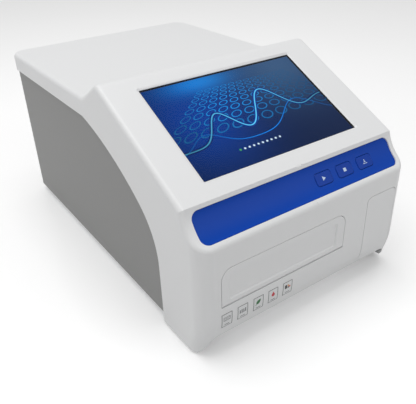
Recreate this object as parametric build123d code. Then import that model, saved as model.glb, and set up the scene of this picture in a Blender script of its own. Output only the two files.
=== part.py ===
from build123d import *
import os
from math import asin, atan2, cos, pi, sin, sqrt

# Benchtop microplate reader: a deep white hood with a sloped touch screen, a blue key band in a cove
# below it, a drop-down plate door, a cuvette flap at its right, and grey side and rear walls.
# Millimetres. The origin is the middle of the footprint on the bench, +Z up, the front towards -Y.

# Overall form
body_width = 305.0
body_depth = 502.0
flat_top_z = 234.0
wall = 2.4
front_corner_radius = 18.0
rear_corner_radius = 20.0
edge_radius = 6.0

# Screen pod, with setbacks measured from the front face and heights from the bench
rim_z = 145.0
pod_front_setback, pod_front_z = 29.5, 180.0
screen_tilt = 26.356
step_length = 44.2
cove_radius = 52.0
crest_radius, step_radius = 12.0, 16.0
rim_radius, lip_depth = 8.0, 0.8

# Lower front, which curves back below the door to two short legs
seam_z = 67.0
knee_z, toe_setback, knee_radius = 44.0, 10.0, 70.0
leg_z = 3.0
skirt_z = 27.0
skirt_half_width, leg_inner_half_width = 136.0, 149.0
skirt_radius, leg_radius = 14.0, 4.0
shelf_depth = 26.0

# Edge of the white hood along the grey side walls
flange_setback = 81.5
flange_bend_z, flange_bend_radius, flange_bend_angle = 83.4, 82.0, 52.0
flange_sweep_radius, flange_sweep_angle = 334.6, 24.7
flange_z = 210.0

# Grey wrap of sheet metal and the pan under it
sheet = 1.5
casing_bottom_z = 13.0
casing_tuck = 15.0
pan_z = 10.0
pan_flange_height = 17.0
panel_gap = 0.2
foot_radius, foot_inset_x, foot_inset_y = 11.0, 27.0, 41.0
screw_radius, screw_clearance = 1.5, 0.2
screw_head, screw_head_radius = 1.5, 3.2

# Touch screen
screen_width, screen_height = 216.0, 135.0
screen_start, screen_foot = 25.0, 23.355
screen_border = 1.5
screen_bevel = 4.0
glass_thickness, lcd_thickness = 1.8, 6.0
glass_margin, lcd_margin = 8.0, 3.0

# Blue band and its three keys
band_width, band_top_margin, band_bottom_margin = 284.0, 4.5, 5.5
band_corner_radius = 9.0
band_recess, band_gap, band_flange, band_skin = 1.2, 0.3, 3.0, 1.5
key_width, key_height, key_radius = 24.0, 15.0, 3.5
key_pitch, first_key_x = 33.0, 29.5
key_gap, key_proud, key_travel = 0.4, 0.8, 1.0
key_lip, key_lip_thickness = 1.2, 1.0
board_sheet = 1.6

# Plate door, hinged along its lower edge
door_width, door_centre_x = 177.0, -38.3
door_top_z, door_corner_radius = 115.2, 14.0
door_thickness, door_gap = 4.0, 0.6
door_open_angle = 105.0
door_recess_side, door_recess_right, door_recess_top, door_recess_bottom = 9.1, 12.2, 8.8, 7.5
door_recess_depth, door_recess_radius = 1.5, 3.0
pin_radius, pin_clearance, pin_length = 1.2, 0.05, 3.2
seal_lap, seal_width = 3.0, 6.0

# Cuvette flap and the well behind it
flap_left_x, flap_right_x, flap_top_z = 87.1, 136.5, 120.6
flap_corner_radius, flap_gap = 7.0, 0.6
flap_pivot_z, flap_pivot_depth = 33.0, 8.0
well_size, well_depth = 12.6, 30.0
holder_size, optical_height = 30.0, 15.0
liner_wall, liner_depth, liner_margin = 1.5, 56.0, 6.0
liner_bottom_z, liner_top_z = 40.0, 127.0

# Plate nest and its carriage; a plate is 127.76 by 85.48 and 14.4 high
nest_length, nest_width, nest_radius = 128.3, 86.0, 3.2
nest_rim, nest_ledge = 6.85, 3.1
tray_z, tray_floor, tray_wall_height = 84.0, 3.0, 6.0
tray_setback = 114.0
tray_tail = 60.0
flag_height = 6.0
carriage_travel = 215.0
shaft_radius, shaft_z, shaft_half_pitch = 4.0, 71.0, 66.0
housing_length, housing_width = 40.0, 22.0
bush_radius, running_clearance = 7.5, 0.05
support_thickness = 8.0
deck_z, deck_sheet = 58.0, 3.0

# Belt drive
pulley_teeth, belt_pitch = 20, 2.0
belt_thickness, belt_width, belt_clearance = 1.0, 6.0, 0.3
belt_offset = 85.8
motor_size, motor_height, motor_shaft_radius = 42.3, 40.0, 2.5
motor_setback, idler_setback = 301.0, 26.0
idler_pin_radius = 2.0

# Reading optics over and under the tray
channel_count, channel_pitch = 12, 9.0
bridge_setback, bridge_depth = 81.0, 30.0
bridge_gap_z, bridge_top_z, bridge_leg = 107.0, 131.0, 10.0
lens_radius, lens_length = 3.0, 5.0
detector_height, detector_depth, detector_gap = 5.5, 10.0, 1.5
fibre_radius = 3.0

# Light source and wavelength selector
mono_width, mono_height = 66.0, 80.0
mono_side_gap, mono_setback, mono_z = 8.0, 191.0, 20.0
lamp_width, lamp_length, lamp_height = 58.0, 60.0, 60.0
lamp_neck, lamp_fan_gap = 2.0, 49.7
lid_thickness = 4.0
fin_count, fin_thickness, fin_depth = 8, 2.0, 8.0

# Fan, supply, board and rear sockets
fan_size, fan_depth, fan_x, fan_z = 60.0, 25.0, 105.0, 57.0
fan_bore_radius, fan_hub_radius, blade_count = 28.0, 12.0, 7
supply_width, supply_length, supply_height, supply_x = 90.0, 110.0, 40.0, -95.0
main_board_width, main_board_length, main_board_x = 110.0, 150.0, 8.0
component_z = 29.6
inlet_x, inlet_z, inlet_width, inlet_height = -110.0, 90.0, 27.0, 19.8
switch_x, switch_width, switch_height = -70.0, 19.0, 13.0
slot_length, slot_height, slot_pitch, slot_rows = 70.0, 4.0, 10.0, 7

# Places that follow from the sizes above
front_y, rear_y = -body_depth / 2, body_depth / 2
half_width = body_width / 2
below_z = -20.0
pod_front_y = front_y + pod_front_setback
slope_angle = screen_tilt * pi / 180.0
slope_length = screen_start + screen_height + screen_foot
crest_y = pod_front_y + slope_length * cos(slope_angle)
crest_z = pod_front_z + slope_length * sin(slope_angle)
step_y = crest_y + step_length
band_chord = sqrt((pod_front_y - front_y) ** 2 + (pod_front_z - rim_z) ** 2)
band_angle = atan2(pod_front_z - rim_z, pod_front_y - front_y)
lip_angle = (slope_angle + band_angle + asin(band_chord / 2 / cove_radius)) / 2
toe_y = front_y + toe_setback * (knee_z - below_z) / (knee_z - leg_z)
flange_y = front_y + flange_setback
inner_front_y = front_y + wall
casing_half_width = half_width - wall - panel_gap
casing_rear_y = rear_y - wall - panel_gap
deck_top_z = deck_z + deck_sheet
tray_front_y = front_y + tray_setback
nest_y = tray_front_y + nest_rim - 0.85 + nest_width / 2
tray_rear_y = nest_y + nest_width / 2 + nest_rim - 0.85
tail_rear_y = tray_rear_y + tray_tail
tray_half_width = nest_length / 2 + nest_rim
pulley_radius = pulley_teeth * belt_pitch / (2 * pi) - 0.25
pulley_x = door_centre_x + belt_offset
motor_y = front_y + motor_setback
idler_y = front_y + idler_setback
belt_mid_z = deck_top_z + 8.0


def block(x0, x1, y0, y1, z0, z1):
    """A rectangular solid between three pairs of limits."""
    return Pos((x0 + x1) / 2, (y0 + y1) / 2, (z0 + z1) / 2) * Box(x1 - x0, y1 - y0, z1 - z0)


def rod(start, end, radius):
    """A round bar from one point to another."""
    along = Vector(*end) - Vector(*start)
    return extrude(Plane(origin=start, z_dir=along) * Circle(radius), amount=along.length)


def along_x(outline, x0, x1):
    """A side view carried from x0 to x1."""
    return Pos(x0, 0, 0) * extrude(outline, amount=x1 - x0)


def along_y(outline, y0, y1):
    """A front view carried from y0 back to y1."""
    return Pos(0, y1, 0) * extrude(outline, amount=y1 - y0)


def panel(centre_x, centre_z, width, height, radius):
    """A rounded rectangle in the front view."""
    return Plane.XZ * (Pos(centre_x, centre_z) * RectangleRounded(width, height, radius))


def plate(centre_x, centre_y, width, length, radius, z0, z1):
    """A flat plate with rounded corners."""
    return Pos(centre_x, centre_y, z0) * extrude(RectangleRounded(width, length, radius), amount=z1 - z0)


def at_each(shape, places):
    """Copies of one shape at each place, kept as separate solids."""
    return [Pos(*place) * shape for place in places]


# Outer form of the casing
def side_outline():
    """Side view: lower front, cove, sloped screen face, step and flat rear top."""
    with BuildSketch(Plane.YZ) as view:
        with BuildLine():
            Polyline((toe_y, below_z), (front_y, knee_z), (front_y, rim_z))
            RadiusArc((front_y, rim_z), (pod_front_y, pod_front_z), -cove_radius)
            Polyline((pod_front_y, pod_front_z), (crest_y, crest_z), (step_y, flat_top_z),
                     (rear_y, flat_top_z), (rear_y, below_z), (toe_y, below_z))
        make_face()
    face = view.sketch
    corners = [(front_y, knee_z, knee_radius), (front_y, rim_z, rim_radius),
               (crest_y, crest_z, crest_radius), (step_y, flat_top_z, step_radius)]
    for y, z, radius in corners:
        face = fillet([face.vertices().sort_by_distance((0, y, z))[0]], radius)
    return face


def casing_form(inset):
    """The casing as a solid, with every face moved inwards by inset."""
    outline = side_outline()
    if inset:
        outline = offset(outline, -inset, kind=Kind.INTERSECTION)
    with BuildSketch(Plane.XY.offset(below_z)) as plan:
        Rectangle(body_width - 2 * inset, body_depth - 2 * inset)
        fillet(plan.vertices().filter_by(lambda v: v.Y < 0), front_corner_radius - inset)
        fillet(plan.vertices().filter_by(lambda v: v.Y > 0), rear_corner_radius - inset)
    form = extrude(outline, amount=half_width - inset, both=True) & extrude(plan.sketch, amount=300.0)
    form = form.solids()[0]
    upper = [e for e in form.edges() if e.bounding_box().min.Z > rim_z - 40]
    rounded = [e for e in upper if e.bounding_box().size.X < 2 * rear_corner_radius]
    rounded += [e for e in upper if (e @ 0.5).Y > rear_y - 10 and e not in rounded]
    form = form.fillet(max(edge_radius - inset, 1.0), rounded)
    if inset:
        return form
    lip = Plane(origin=(0, pod_front_y, pod_front_z), z_dir=(0, -sin(lip_angle), cos(lip_angle)))
    return form - extrude(lip * Pos(0, 0, -lip_depth) * Rectangle(2 * body_width, 8.0), amount=5.0, dir=lip.z_dir)


def flange_cut():
    """Everything behind and below the hood's edge on the side walls."""
    with BuildSketch(Plane.YZ) as view:
        with BuildLine():
            upright = Line((flange_y, below_z), (flange_y, flange_bend_z))
            bend = JernArc(upright @ 1, (0, 1), flange_bend_radius, -flange_bend_angle)
            sweep = JernArc(bend @ 1, bend % 1, flange_sweep_radius, -flange_sweep_angle)
            Polyline(sweep @ 1, ((sweep @ 1).X, flange_z), (rear_y + 50, flange_z),
                     (rear_y + 50, below_z), (flange_y, below_z))
        make_face()
    return extrude(view.sketch, amount=body_width, both=True)


outer_form = casing_form(0.0)
inner_form = casing_form(wall)
clear_form = casing_form(wall + panel_gap)
white_shell = outer_form - inner_form - flange_cut()

# Planes along which the screen and the blue band lie
slope = Plane(origin=(0, crest_y, crest_z), x_dir=(1, 0, 0), z_dir=(0, -sin(slope_angle), cos(slope_angle)))
cove_depth = cove_radius - sqrt(cove_radius ** 2 - (band_chord / 2) ** 2)
band_normal = Vector(0, -sin(band_angle), cos(band_angle))
chord_middle = Vector(0, (front_y + pod_front_y) / 2, (rim_z + pod_front_z) / 2)
band = Plane(origin=chord_middle - band_normal * cove_depth, x_dir=(1, 0, 0), z_dir=band_normal)
cove_centre = band.origin + band_normal * cove_radius
screen_centre = (0.0, -(screen_start + screen_height / 2))
band_height = band_chord - band_top_margin - band_bottom_margin
band_middle = (band_bottom_margin - band_top_margin) / 2
key_xs = [first_key_x + i * key_pitch for i in range(3)]


def on_slope(width, height, radius, top, thickness):
    """A rounded plate parallel to the screen, its upper face at the given depth under the hood's surface."""
    shape = slope * Pos(*screen_centre, -top - thickness) * RectangleRounded(width, height, radius)
    return extrude(shape, amount=thickness, dir=slope.z_dir)


def cove_layer(depth, thickness, width, height, radius):
    """A rounded panel that follows the cove, from one depth below its surface to another."""
    ring = Circle(cove_radius + depth + thickness) - Circle(cove_radius + depth)
    ring = Plane.YZ * (Pos(cove_centre.Y, cove_centre.Z) * ring)
    drum = extrude(ring, amount=width / 2, both=True)
    outline = band * Pos(0, band_middle, -cove_radius / 2) * RectangleRounded(width, height, radius)
    return drum & extrude(outline, amount=cove_radius, dir=band_normal)


def through_band(x, width, height, radius, low, high):
    """A rounded block across the band's face between two heights above its middle."""
    outline = band * Pos(x, band_middle, low) * RectangleRounded(width, height, radius)
    return extrude(outline, amount=high - low, dir=band_normal)


def arch(x0, x1, low_z, top_z, radius):
    """A front-view outline with square lower corners and rounded upper ones."""
    with BuildSketch(Plane.XZ) as view:
        with Locations(((x0 + x1) / 2, (low_z + top_z) / 2)):
            Rectangle(x1 - x0, top_z - low_z)
        fillet(view.vertices().group_by(Axis.Y)[-1], radius)
    return view.sketch


def door_arch(grow, low_z):
    """The plate door's outline, grown by a gap."""
    return arch(door_x0 - grow, door_x1 + grow, low_z, door_top_z + grow, door_corner_radius + grow)


def flap_arch(grow, low_z):
    """The cuvette flap's outline, grown by a gap."""
    return arch(flap_left_x - grow, flap_right_x + grow, low_z, flap_top_z + grow, flap_corner_radius + grow)


door_x0, door_x1 = door_centre_x - door_width / 2, door_centre_x + door_width / 2
door_pivot = (front_y + door_thickness / 2, seam_z + 0.8 + door_thickness / 2)
flap_pivot = (front_y + flap_pivot_depth, flap_pivot_z)
wall_zone = (front_y - 5.0, front_y + wall + 3.0)
skirt_zone = (front_y - 5.0, front_y + toe_setback + 2.0)

# White hood: one moulding from the seam up, open for the screen, the band, the door and the flap
screen_hole = slope * Pos(*screen_centre, -wall - 1.0)
screen_cut = extrude(
    screen_hole * RectangleRounded(screen_width + 2 * screen_border, screen_height + 2 * screen_border, 1.5),
    amount=wall + 2.0, dir=slope.z_dir)
bevel_low = slope * Pos(*screen_centre, -wall + 0.6) * RectangleRounded(
    screen_width + 2 * screen_border, screen_height + 2 * screen_border, 1.5)
bevel_high = slope * Pos(*screen_centre, 0.0) * RectangleRounded(
    screen_width + 2 * screen_bevel + 2, screen_height + 2 * screen_bevel, 5.0)
bevel_cut = loft([bevel_low, bevel_high])
hood = white_shell - block(-200, 200, front_y - 50, rear_y + 50, below_z - 50, seam_z)
hood = hood - screen_cut - bevel_cut
hood -= through_band(0, band_width + 2 * band_gap, band_height + 2 * band_gap, band_corner_radius, -12.0, 12.0)
hood -= along_y(door_arch(door_gap, seam_z - 5), *wall_zone)
hood -= along_y(flap_arch(flap_gap, seam_z - 5), *wall_zone)
boss_y = (front_y + wall / 2, inner_front_y + 4.5)
boss_z = (seam_z, door_pivot[1] + 4.0)
for side, x in ((-1, door_x0 - door_gap), (1, door_x1 + door_gap)):
    hood += block(*sorted((x, x + side * 5.5)), *boss_y, *boss_z)
    hood -= rod((x - side * 2, *door_pivot), (x + side * (pin_length + 0.3), *door_pivot), pin_radius + pin_clearance)
rear_screw_xs = [-110.0, -37.0, 37.0, 110.0]
rear_screw_z = flange_z + 12.0
for x in rear_screw_xs:
    hood -= rod((x, rear_y - 10, rear_screw_z), (x, rear_y + 10, rear_screw_z), screw_radius + screw_clearance)
    hood -= rod((x, rear_y - screw_head, rear_screw_z), (x, rear_y + 1, rear_screw_z), screw_head_radius + screw_clearance)


# Lower front cover, with the two legs and the shelf that rests on the pan
def lower_form(inset):
    """The lower front as a solid that curves back below the knee, moved inwards by inset."""
    with BuildSketch(Plane.YZ) as view:
        with BuildLine():
            Polyline((toe_y, below_z), (front_y, knee_z), (front_y, seam_z), (flange_y + 60, seam_z),
                     (flange_y + 60, below_z), (toe_y, below_z))
        make_face()
    face = fillet([view.sketch.vertices().sort_by_distance((0, front_y, knee_z))[0]], knee_radius)
    face = Pos(0, inset, 0) * face
    form = extrude(face, amount=half_width - inset, both=True).solids()[0]
    corners = [e for e in form.edges() if e.bounding_box().size.X < 0.01 and (e @ 0.5).Y < front_y + inset + 18
               and e.length > 1 and abs((e @ 0).Z - (e @ 1).Z) > 5]
    return form.fillet(front_corner_radius - inset, corners)


def skirt_cut():
    """The space under the front between the two legs, seen from the front."""
    with BuildSketch(Plane.XZ) as view:
        with BuildLine():
            Polyline((-leg_inner_half_width, below_z * 2), (-leg_inner_half_width, leg_z),
                     (-skirt_half_width, skirt_z), (skirt_half_width, skirt_z),
                     (leg_inner_half_width, leg_z), (leg_inner_half_width, below_z * 2),
                     (-leg_inner_half_width, below_z * 2))
        make_face()
    face = view.sketch
    for x, z, radius in ((skirt_half_width, skirt_z, skirt_radius), (leg_inner_half_width, leg_z, leg_radius)):
        for side in (-1, 1):
            face = fillet([face.vertices().sort_by_distance((side * x, 0, z))[0]], radius)
    return along_y(face, front_y - 10, front_y + 32)


lower_shell = lower_form(0.0) - lower_form(wall)
lower_shell -= block(-200, 200, flange_y, rear_y, below_z * 3, seam_z + 5)
lower_shell -= block(-200, 200, front_y - 20, rear_y, below_z * 3, leg_z)
shelf_y = (inner_front_y + 1.0, front_y + shelf_depth)
shelf_z = (skirt_z, skirt_z + wall)
shelf = block(-skirt_half_width + 6, skirt_half_width - 6, *shelf_y, *shelf_z)
shelf = shelf & lower_form(wall / 2)
swing = sqrt(flap_pivot_depth ** 2 + (flap_pivot_z - skirt_z) ** 2)
flap_bay_x = (flap_left_x - flap_gap, flap_right_x + flap_gap)
shelf -= block(*flap_bay_x, front_y - 5, flap_pivot[0] + swing, *(skirt_z - 1, skirt_z + 4))
front_cover = lower_shell - skirt_cut() + shelf
front_cover -= along_y(flap_arch(flap_gap, skirt_z - 30), *skirt_zone)
for side, x in ((-1, flap_bay_x[0]), (1, flap_bay_x[1])):
    lug = block(*sorted((x, x + side * 5.5)), inner_front_y, flap_pivot[0] + 4, skirt_z + 1, flap_pivot_z + 5)
    front_cover += lug & lower_form(wall / 2)
    front_cover -= rod((x - side * 2, *flap_pivot), (x + side * (pin_length + 0.3), *flap_pivot),
                       pin_radius + pin_clearance)
door_relief = rod((door_x0 - door_gap, *door_pivot), (door_x1 + door_gap, *door_pivot), door_thickness / 2 + 0.8)
front_cover -= door_relief

# Plate door: a full-round lower edge on two pins, with a shallow recess in its face
with BuildSketch(Plane.YZ) as door_side:
    with Locations(door_pivot):
        Circle(door_thickness / 2)
    with Locations((door_pivot[0], (door_pivot[1] + door_top_z) / 2)):
        Rectangle(door_thickness, door_top_z - door_pivot[1])
plate_door = along_x(door_side.sketch, door_x0, door_x1)
plate_door = plate_door & along_y(door_arch(0.0, seam_z), front_y - 1, front_y + door_thickness + 1)
recess_x = (door_x0 + door_recess_side, door_x1 - door_recess_right)
recess_z = (seam_z + door_recess_bottom, door_top_z - door_recess_top)
recess_size = (recess_x[1] - recess_x[0], recess_z[1] - recess_z[0])
recess_middle = (sum(recess_x) / 2, sum(recess_z) / 2)
recess_faces = [Pos(0, front_y + depth, 0) * panel(*recess_middle, recess_size[0] - grow, recess_size[1] - grow,
                                                   door_recess_radius)
                for depth, grow in ((0.0, 0.0), (door_recess_depth, 2 * door_recess_depth))]
plate_door -= loft(recess_faces)
for side, x in ((-1, door_x0), (1, door_x1)):
    plate_door += rod((x - side * 4, *door_pivot), (x + side * pin_length, *door_pivot), pin_radius)

# Light seal glued round the sides and top of the door opening
seal_low_z = boss_z[1] + 1.0
seal_outer = door_arch(seal_width, seal_low_z)
door_seal = along_y(seal_outer - door_arch(door_gap + 0.4, seal_low_z - 5), inner_front_y, front_y + door_thickness + 0.4)
door_seal += along_y(seal_outer - door_arch(-seal_lap, seal_low_z - 5),
                     front_y + door_thickness + 0.4, front_y + door_thickness + 1.9)

# Cuvette flap: part of the same front skin on two ears near its lower edge
upper_skin = white_shell - block(-200, 200, front_y - 50, rear_y + 50, below_z - 50, seam_z)
flap_window = along_y(flap_arch(0.0, skirt_z - 30), *skirt_zone)
cuvette_door = (upper_skin & flap_window) + ((lower_shell - skirt_cut()) & flap_window)
ear_thickness = 4.0
for side, x in ((-1, flap_left_x + 2), (1, flap_right_x - 2)):
    with BuildSketch(Plane.YZ) as ear_side:
        with Locations(flap_pivot):
            Circle(3.5)
        with Locations((flap_pivot[0] - 3.0, flap_pivot_z + 3.0)):
            Rectangle(7.0, 12.0)
    ear_xs = sorted((x, x - side * ear_thickness))
    ear = along_x(ear_side.sketch, *ear_xs) & lower_form(wall / 2)
    cuvette_door += ear
    cuvette_door += rod((x - side * ear_thickness, *flap_pivot), (x + side * (2 + flap_gap + pin_length), *flap_pivot),
                        pin_radius)

# Black liner of the cuvette bay, with the holder, its square well and its spring
liner_x = (flap_left_x - liner_margin, flap_right_x + liner_margin)
liner_y = (inner_front_y + panel_gap, front_y + liner_depth)
liner_z = (liner_bottom_z, liner_top_z)
cuvette_liner = block(*liner_x, *liner_y, *liner_z) - block(
    liner_x[0] + liner_wall, liner_x[1] - liner_wall, liner_y[0] - 1, liner_y[1] - liner_wall,
    liner_z[0] + liner_wall, liner_z[1] - liner_wall)
cuvette_liner = cuvette_liner & clear_form
cuvette_liner -= block(liner_x[0] - 1, liner_x[1] + 1, liner_y[0] - 1, flap_pivot[0] + 6, liner_z[0] - 1, liner_z[0] + 9)
holder_x = (flap_left_x + flap_right_x) / 2
holder_y = liner_y[1] - liner_wall - holder_size / 2 - 4.0
holder_z = liner_z[0] + liner_wall
holder_height = well_depth + 5.0
well_floor_z = holder_z + holder_height - well_depth
cuvette_holder = plate(holder_x, holder_y, holder_size, holder_size, 2.0, holder_z, holder_z + holder_height)
cuvette_holder = chamfer(cuvette_holder.faces().sort_by(Axis.Z)[-1].edges(), 1.0)
cuvette_holder -= plate(holder_x, holder_y, well_size, well_size, 0.4, well_floor_z, holder_z + holder_height + 1)
cuvette_holder -= rod((holder_x - holder_size, holder_y, well_floor_z + optical_height),
                      (holder_x + holder_size, holder_y, well_floor_z + optical_height), 2.5)
clip_y = holder_y + well_size / 2
cuvette_holder -= block(holder_x - 3, holder_x + 3, clip_y - 0.1, clip_y + 1.5, well_floor_z + 6, holder_z + holder_height + 1)
cuvette_clip = block(holder_x - 2.5, holder_x + 2.5, clip_y + 0.7, clip_y + 1.3, well_floor_z + 6, holder_z + holder_height)

# Grey wrap: both sides and the rear in one folded sheet, tucked behind the white hood
def wrap_plan(inset):
    """The wrap seen from above, open at the front, moved inwards by inset."""
    y0, y1 = flange_y - casing_tuck, casing_rear_y - inset
    with BuildSketch() as plan:
        with Locations((0, (y0 + y1) / 2)):
            Rectangle(2 * (casing_half_width - inset), y1 - y0)
        fillet(plan.vertices().group_by(Axis.Y)[-1], rear_corner_radius - wall - panel_gap - inset)
    return plan.sketch


wrap_top_z = flat_top_z - wall - edge_radius - 1.0
rear_inner_y = casing_rear_y - sheet
rear_zone = (rear_inner_y - 3, casing_rear_y + 3)
wrap_casing = Pos(0, 0, casing_bottom_z) * extrude(wrap_plan(0.0) - wrap_plan(sheet), amount=wrap_top_z - casing_bottom_z)
wrap_casing = wrap_casing & clear_form
for x in rear_screw_xs:
    wrap_casing -= rod((x, rear_y - 10, rear_screw_z), (x, rear_y + 10, rear_screw_z), screw_radius + screw_clearance)
spokes = Rot(0, 0, 45) * Rectangle(fan_size, 2.5) + Rot(0, 0, -45) * Rectangle(fan_size, 2.5)
for ring_radius in (9.0, 15.5, 22.0):
    ring = Circle(ring_radius + 2.0) - Circle(ring_radius - 2.0) - spokes
    wrap_casing -= along_y(Plane.XZ * (Pos(fan_x, fan_z) * ring), *rear_zone)
slot_z0 = 140.0
with BuildSketch(Plane.XZ) as louvres:
    for x in (-slot_length * 0.65, slot_length * 0.65):
        with Locations(*[(x, slot_z0 + i * slot_pitch) for i in range(slot_rows)]):
            Rectangle(slot_length, slot_height)
wrap_casing -= along_y(louvres.sketch, *rear_zone)
wrap_casing -= along_y(panel(inlet_x, inlet_z, inlet_width + 0.4, inlet_height + 0.4, 2.0), *rear_zone)
wrap_casing -= along_y(panel(switch_x, inlet_z, switch_height + 0.4, switch_width + 0.4, 0.5), *rear_zone)

# Base pan of folded sheet, open at the top, with a row of slots under the lamp
pan_half_width = casing_half_width - sheet - panel_gap
pan_y = (front_y + shelf_depth, rear_inner_y - panel_gap)
pan_top_z = pan_z + sheet
pan_middle_y, pan_length = sum(pan_y) / 2, pan_y[1] - pan_y[0]
pan_corner = rear_corner_radius - wall - 2 * panel_gap - sheet
with BuildSketch() as pan_outline:
    with Locations((0, pan_middle_y)):
        Rectangle(2 * pan_half_width, pan_length)
    fillet(pan_outline.vertices().group_by(Axis.Y)[-1], pan_corner)
pan_outside = Pos(0, 0, pan_z) * extrude(pan_outline.sketch, amount=pan_flange_height)
pan_inside = Pos(0, 0, pan_top_z) * extrude(offset(pan_outline.sketch, -sheet), amount=pan_flange_height)
base_pan = pan_outside - pan_inside
for i in range(6):
    base_pan -= plate(fan_x, rear_inner_y - 60 - i * 12, 50, 4, 1.9, pan_z - 1, pan_top_z + 1)
foot_places = [(x, y, 0) for x in (foot_inset_x - half_width, half_width - foot_inset_x)
               for y in (front_y + foot_inset_y, rear_y - foot_inset_y)]
for x, y, _ in foot_places:
    base_pan -= rod((x, y, pan_z - 1), (x, y, pan_top_z + 1), screw_radius + screw_clearance)

# Rubber feet, each a turned form with a well for its screw
with BuildSketch(Plane.XZ) as foot_half:
    Polygon((screw_radius + screw_clearance, pan_z - 3), (screw_radius + screw_clearance, pan_z), (foot_radius - 1, pan_z),
            (foot_radius, 1.0), (foot_radius - 1, 0), (4.5, 0), (4.5, pan_z - 3), align=None)
foot = revolve(foot_half.sketch, Axis.Z)
rubber_feet = at_each(foot, foot_places)
foot_screw = rod((0, 0, pan_z - 5), (0, 0, pan_z - 3), 3.0) + rod((0, 0, pan_z - 3), (0, 0, pan_top_z + 5), screw_radius)
foot_screws = at_each(foot_screw, foot_places)
rear_screw = rod((0, -screw_head, 0), (0, -0.1, 0), screw_head_radius) + rod((0, -9.0, 0), (0, -screw_head, 0), screw_radius)
rear_screw -= block(-2.0, 2.0, -0.8, 0.1, -0.4, 0.4) + block(-0.4, 0.4, -0.8, 0.1, -2.0, 2.0)
casing_screws = at_each(rear_screw, [(x, rear_y, rear_screw_z) for x in rear_screw_xs])

# Deck plate that carries the carriage and the optics, on round standoffs from the pan
deck_x = (door_centre_x - 92.0, door_centre_x + 108.0)
deck_y = (inner_front_y + 4.6, motor_y + 25.0)
deck_plate = plate(sum(deck_x) / 2, sum(deck_y) / 2, deck_x[1] - deck_x[0], deck_y[1] - deck_y[0], 6.0, deck_z, deck_top_z)
deck_plate -= rod((pulley_x, motor_y, deck_z - 1), (pulley_x, motor_y, deck_top_z + 1), 11.0)
standoff_radius = 5.0
deck_standoff_places = [(deck_x[0] + 9, y) for y in (pan_y[0] + 40, front_y + 180, deck_y[1] - 10)]
deck_standoff_places += [(deck_x[1] - 9, y) for y in (pan_y[0] + 40, front_y + 180)] + [(door_centre_x, deck_y[1] - 10)]
deck_standoffs = [rod((x, y, pan_top_z), (x, y, deck_z), standoff_radius) for x, y in deck_standoff_places]

# Guide shafts, their end supports, and the moving housings with plain bushes
shaft_xs = (door_centre_x - shaft_half_pitch, door_centre_x + shaft_half_pitch)
housing_y = (tail_rear_y - housing_length, tail_rear_y)
front_support_y = (inner_front_y + 5.6, inner_front_y + 5.6 + support_thickness)
rear_support_y = (tail_rear_y + 3.0, tail_rear_y + 3.0 + support_thickness)
support_top_z = shaft_z + 9.0


def shaft_support(x, y0, y1):
    """A clamp block with a rounded top round one end of a guide shaft."""
    with BuildSketch(Plane.XZ) as view:
        with Locations((x, (deck_top_z + shaft_z) / 2)):
            Rectangle(housing_width - 2, shaft_z - deck_top_z)
        with Locations((x, shaft_z)):
            Circle(support_top_z - shaft_z)
            Circle(shaft_radius + 0.02, mode=Mode.SUBTRACT)
    return along_y(view.sketch, y0, y1)


guide_shafts = [rod((x, front_support_y[0], shaft_z), (x, rear_support_y[1], shaft_z), shaft_radius) for x in shaft_xs]
shaft_supports = [shaft_support(x, *ys) for x in shaft_xs for ys in (front_support_y, rear_support_y)]
tray_bushings = []
bushing_housings = []
for x in shaft_xs:
    bore = rod((x, housing_y[0] - 1, shaft_z), (x, housing_y[1] + 1, shaft_z), bush_radius)
    hole = rod((x, housing_y[0] - 1, shaft_z), (x, housing_y[1] + 1, shaft_z), shaft_radius + running_clearance)
    housing = block(x - housing_width / 2, x + housing_width / 2, *housing_y, deck_top_z + 1.0, tray_z)
    bushing_housings.append(housing - bore)
    tray_bushings.append(rod((x, housing_y[0], shaft_z), (x, housing_y[1], shaft_z), bush_radius) - hole)

# Plate tray: a ledge frame that the plate drops into, finger reliefs, and a tail over the housings
tray_x = (door_centre_x - tray_half_width, door_centre_x + tray_half_width)
tray_floor_z = tray_z + tray_floor
tray_rim_z = tray_floor_z + tray_wall_height
tray_y = (tray_front_y, tray_rear_y)
plate_tray = plate(door_centre_x, (tray_y[0] + tail_rear_y) / 2, 2 * tray_half_width, tail_rear_y - tray_y[0], 6.0,
                   tray_z, tray_floor_z)
plate_tray += plate(door_centre_x, sum(tray_y) / 2, 2 * tray_half_width, tray_y[1] - tray_y[0], 6.0, tray_z, tray_rim_z)
plate_tray -= plate(door_centre_x, nest_y, nest_length, nest_width, nest_radius, tray_floor_z, tray_rim_z + 1)
plate_tray -= plate(door_centre_x, nest_y, nest_length - 2 * nest_ledge, nest_width - 2 * nest_ledge, nest_radius,
                    tray_z - 1, tray_floor_z + 1)
for x in tray_x:
    plate_tray -= rod((x, nest_y, tray_floor_z), (x, nest_y, tray_rim_z + 1), 15.0)
for dx in (-30.0, 0.0, 30.0):
    plate_tray += block(door_centre_x + dx - 1.5, door_centre_x + dx + 1.5, tray_rear_y - 1, tail_rear_y - 2,
                        tray_z, tray_floor_z + 3.0)
flag_x = door_centre_x - 22.0
flag_top_z = tray_floor_z + flag_height
plate_tray += block(flag_x - 0.5, flag_x + 0.5, tail_rear_y - 2, tail_rear_y + 13, tray_z, flag_top_z)

# Plate clip: a folded spring on the rear rim, its tongue in a pocket of the rim
clip_x = door_centre_x + 40.0
clip_front_y = nest_y + nest_width / 2
plate_tray -= block(clip_x - 6, clip_x + 6, clip_front_y - 1, clip_front_y + 1.6, tray_floor_z + 0.5, tray_rim_z + 1)
plate_clip = block(clip_x - 5, clip_x + 5, clip_front_y + 0.5, clip_front_y + 1.3, tray_floor_z + 1, tray_rim_z + 0.8)
plate_clip += block(clip_x - 5, clip_x + 5, clip_front_y + 0.5, tray_rear_y - 1, tray_rim_z, tray_rim_z + 0.8)

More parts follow.
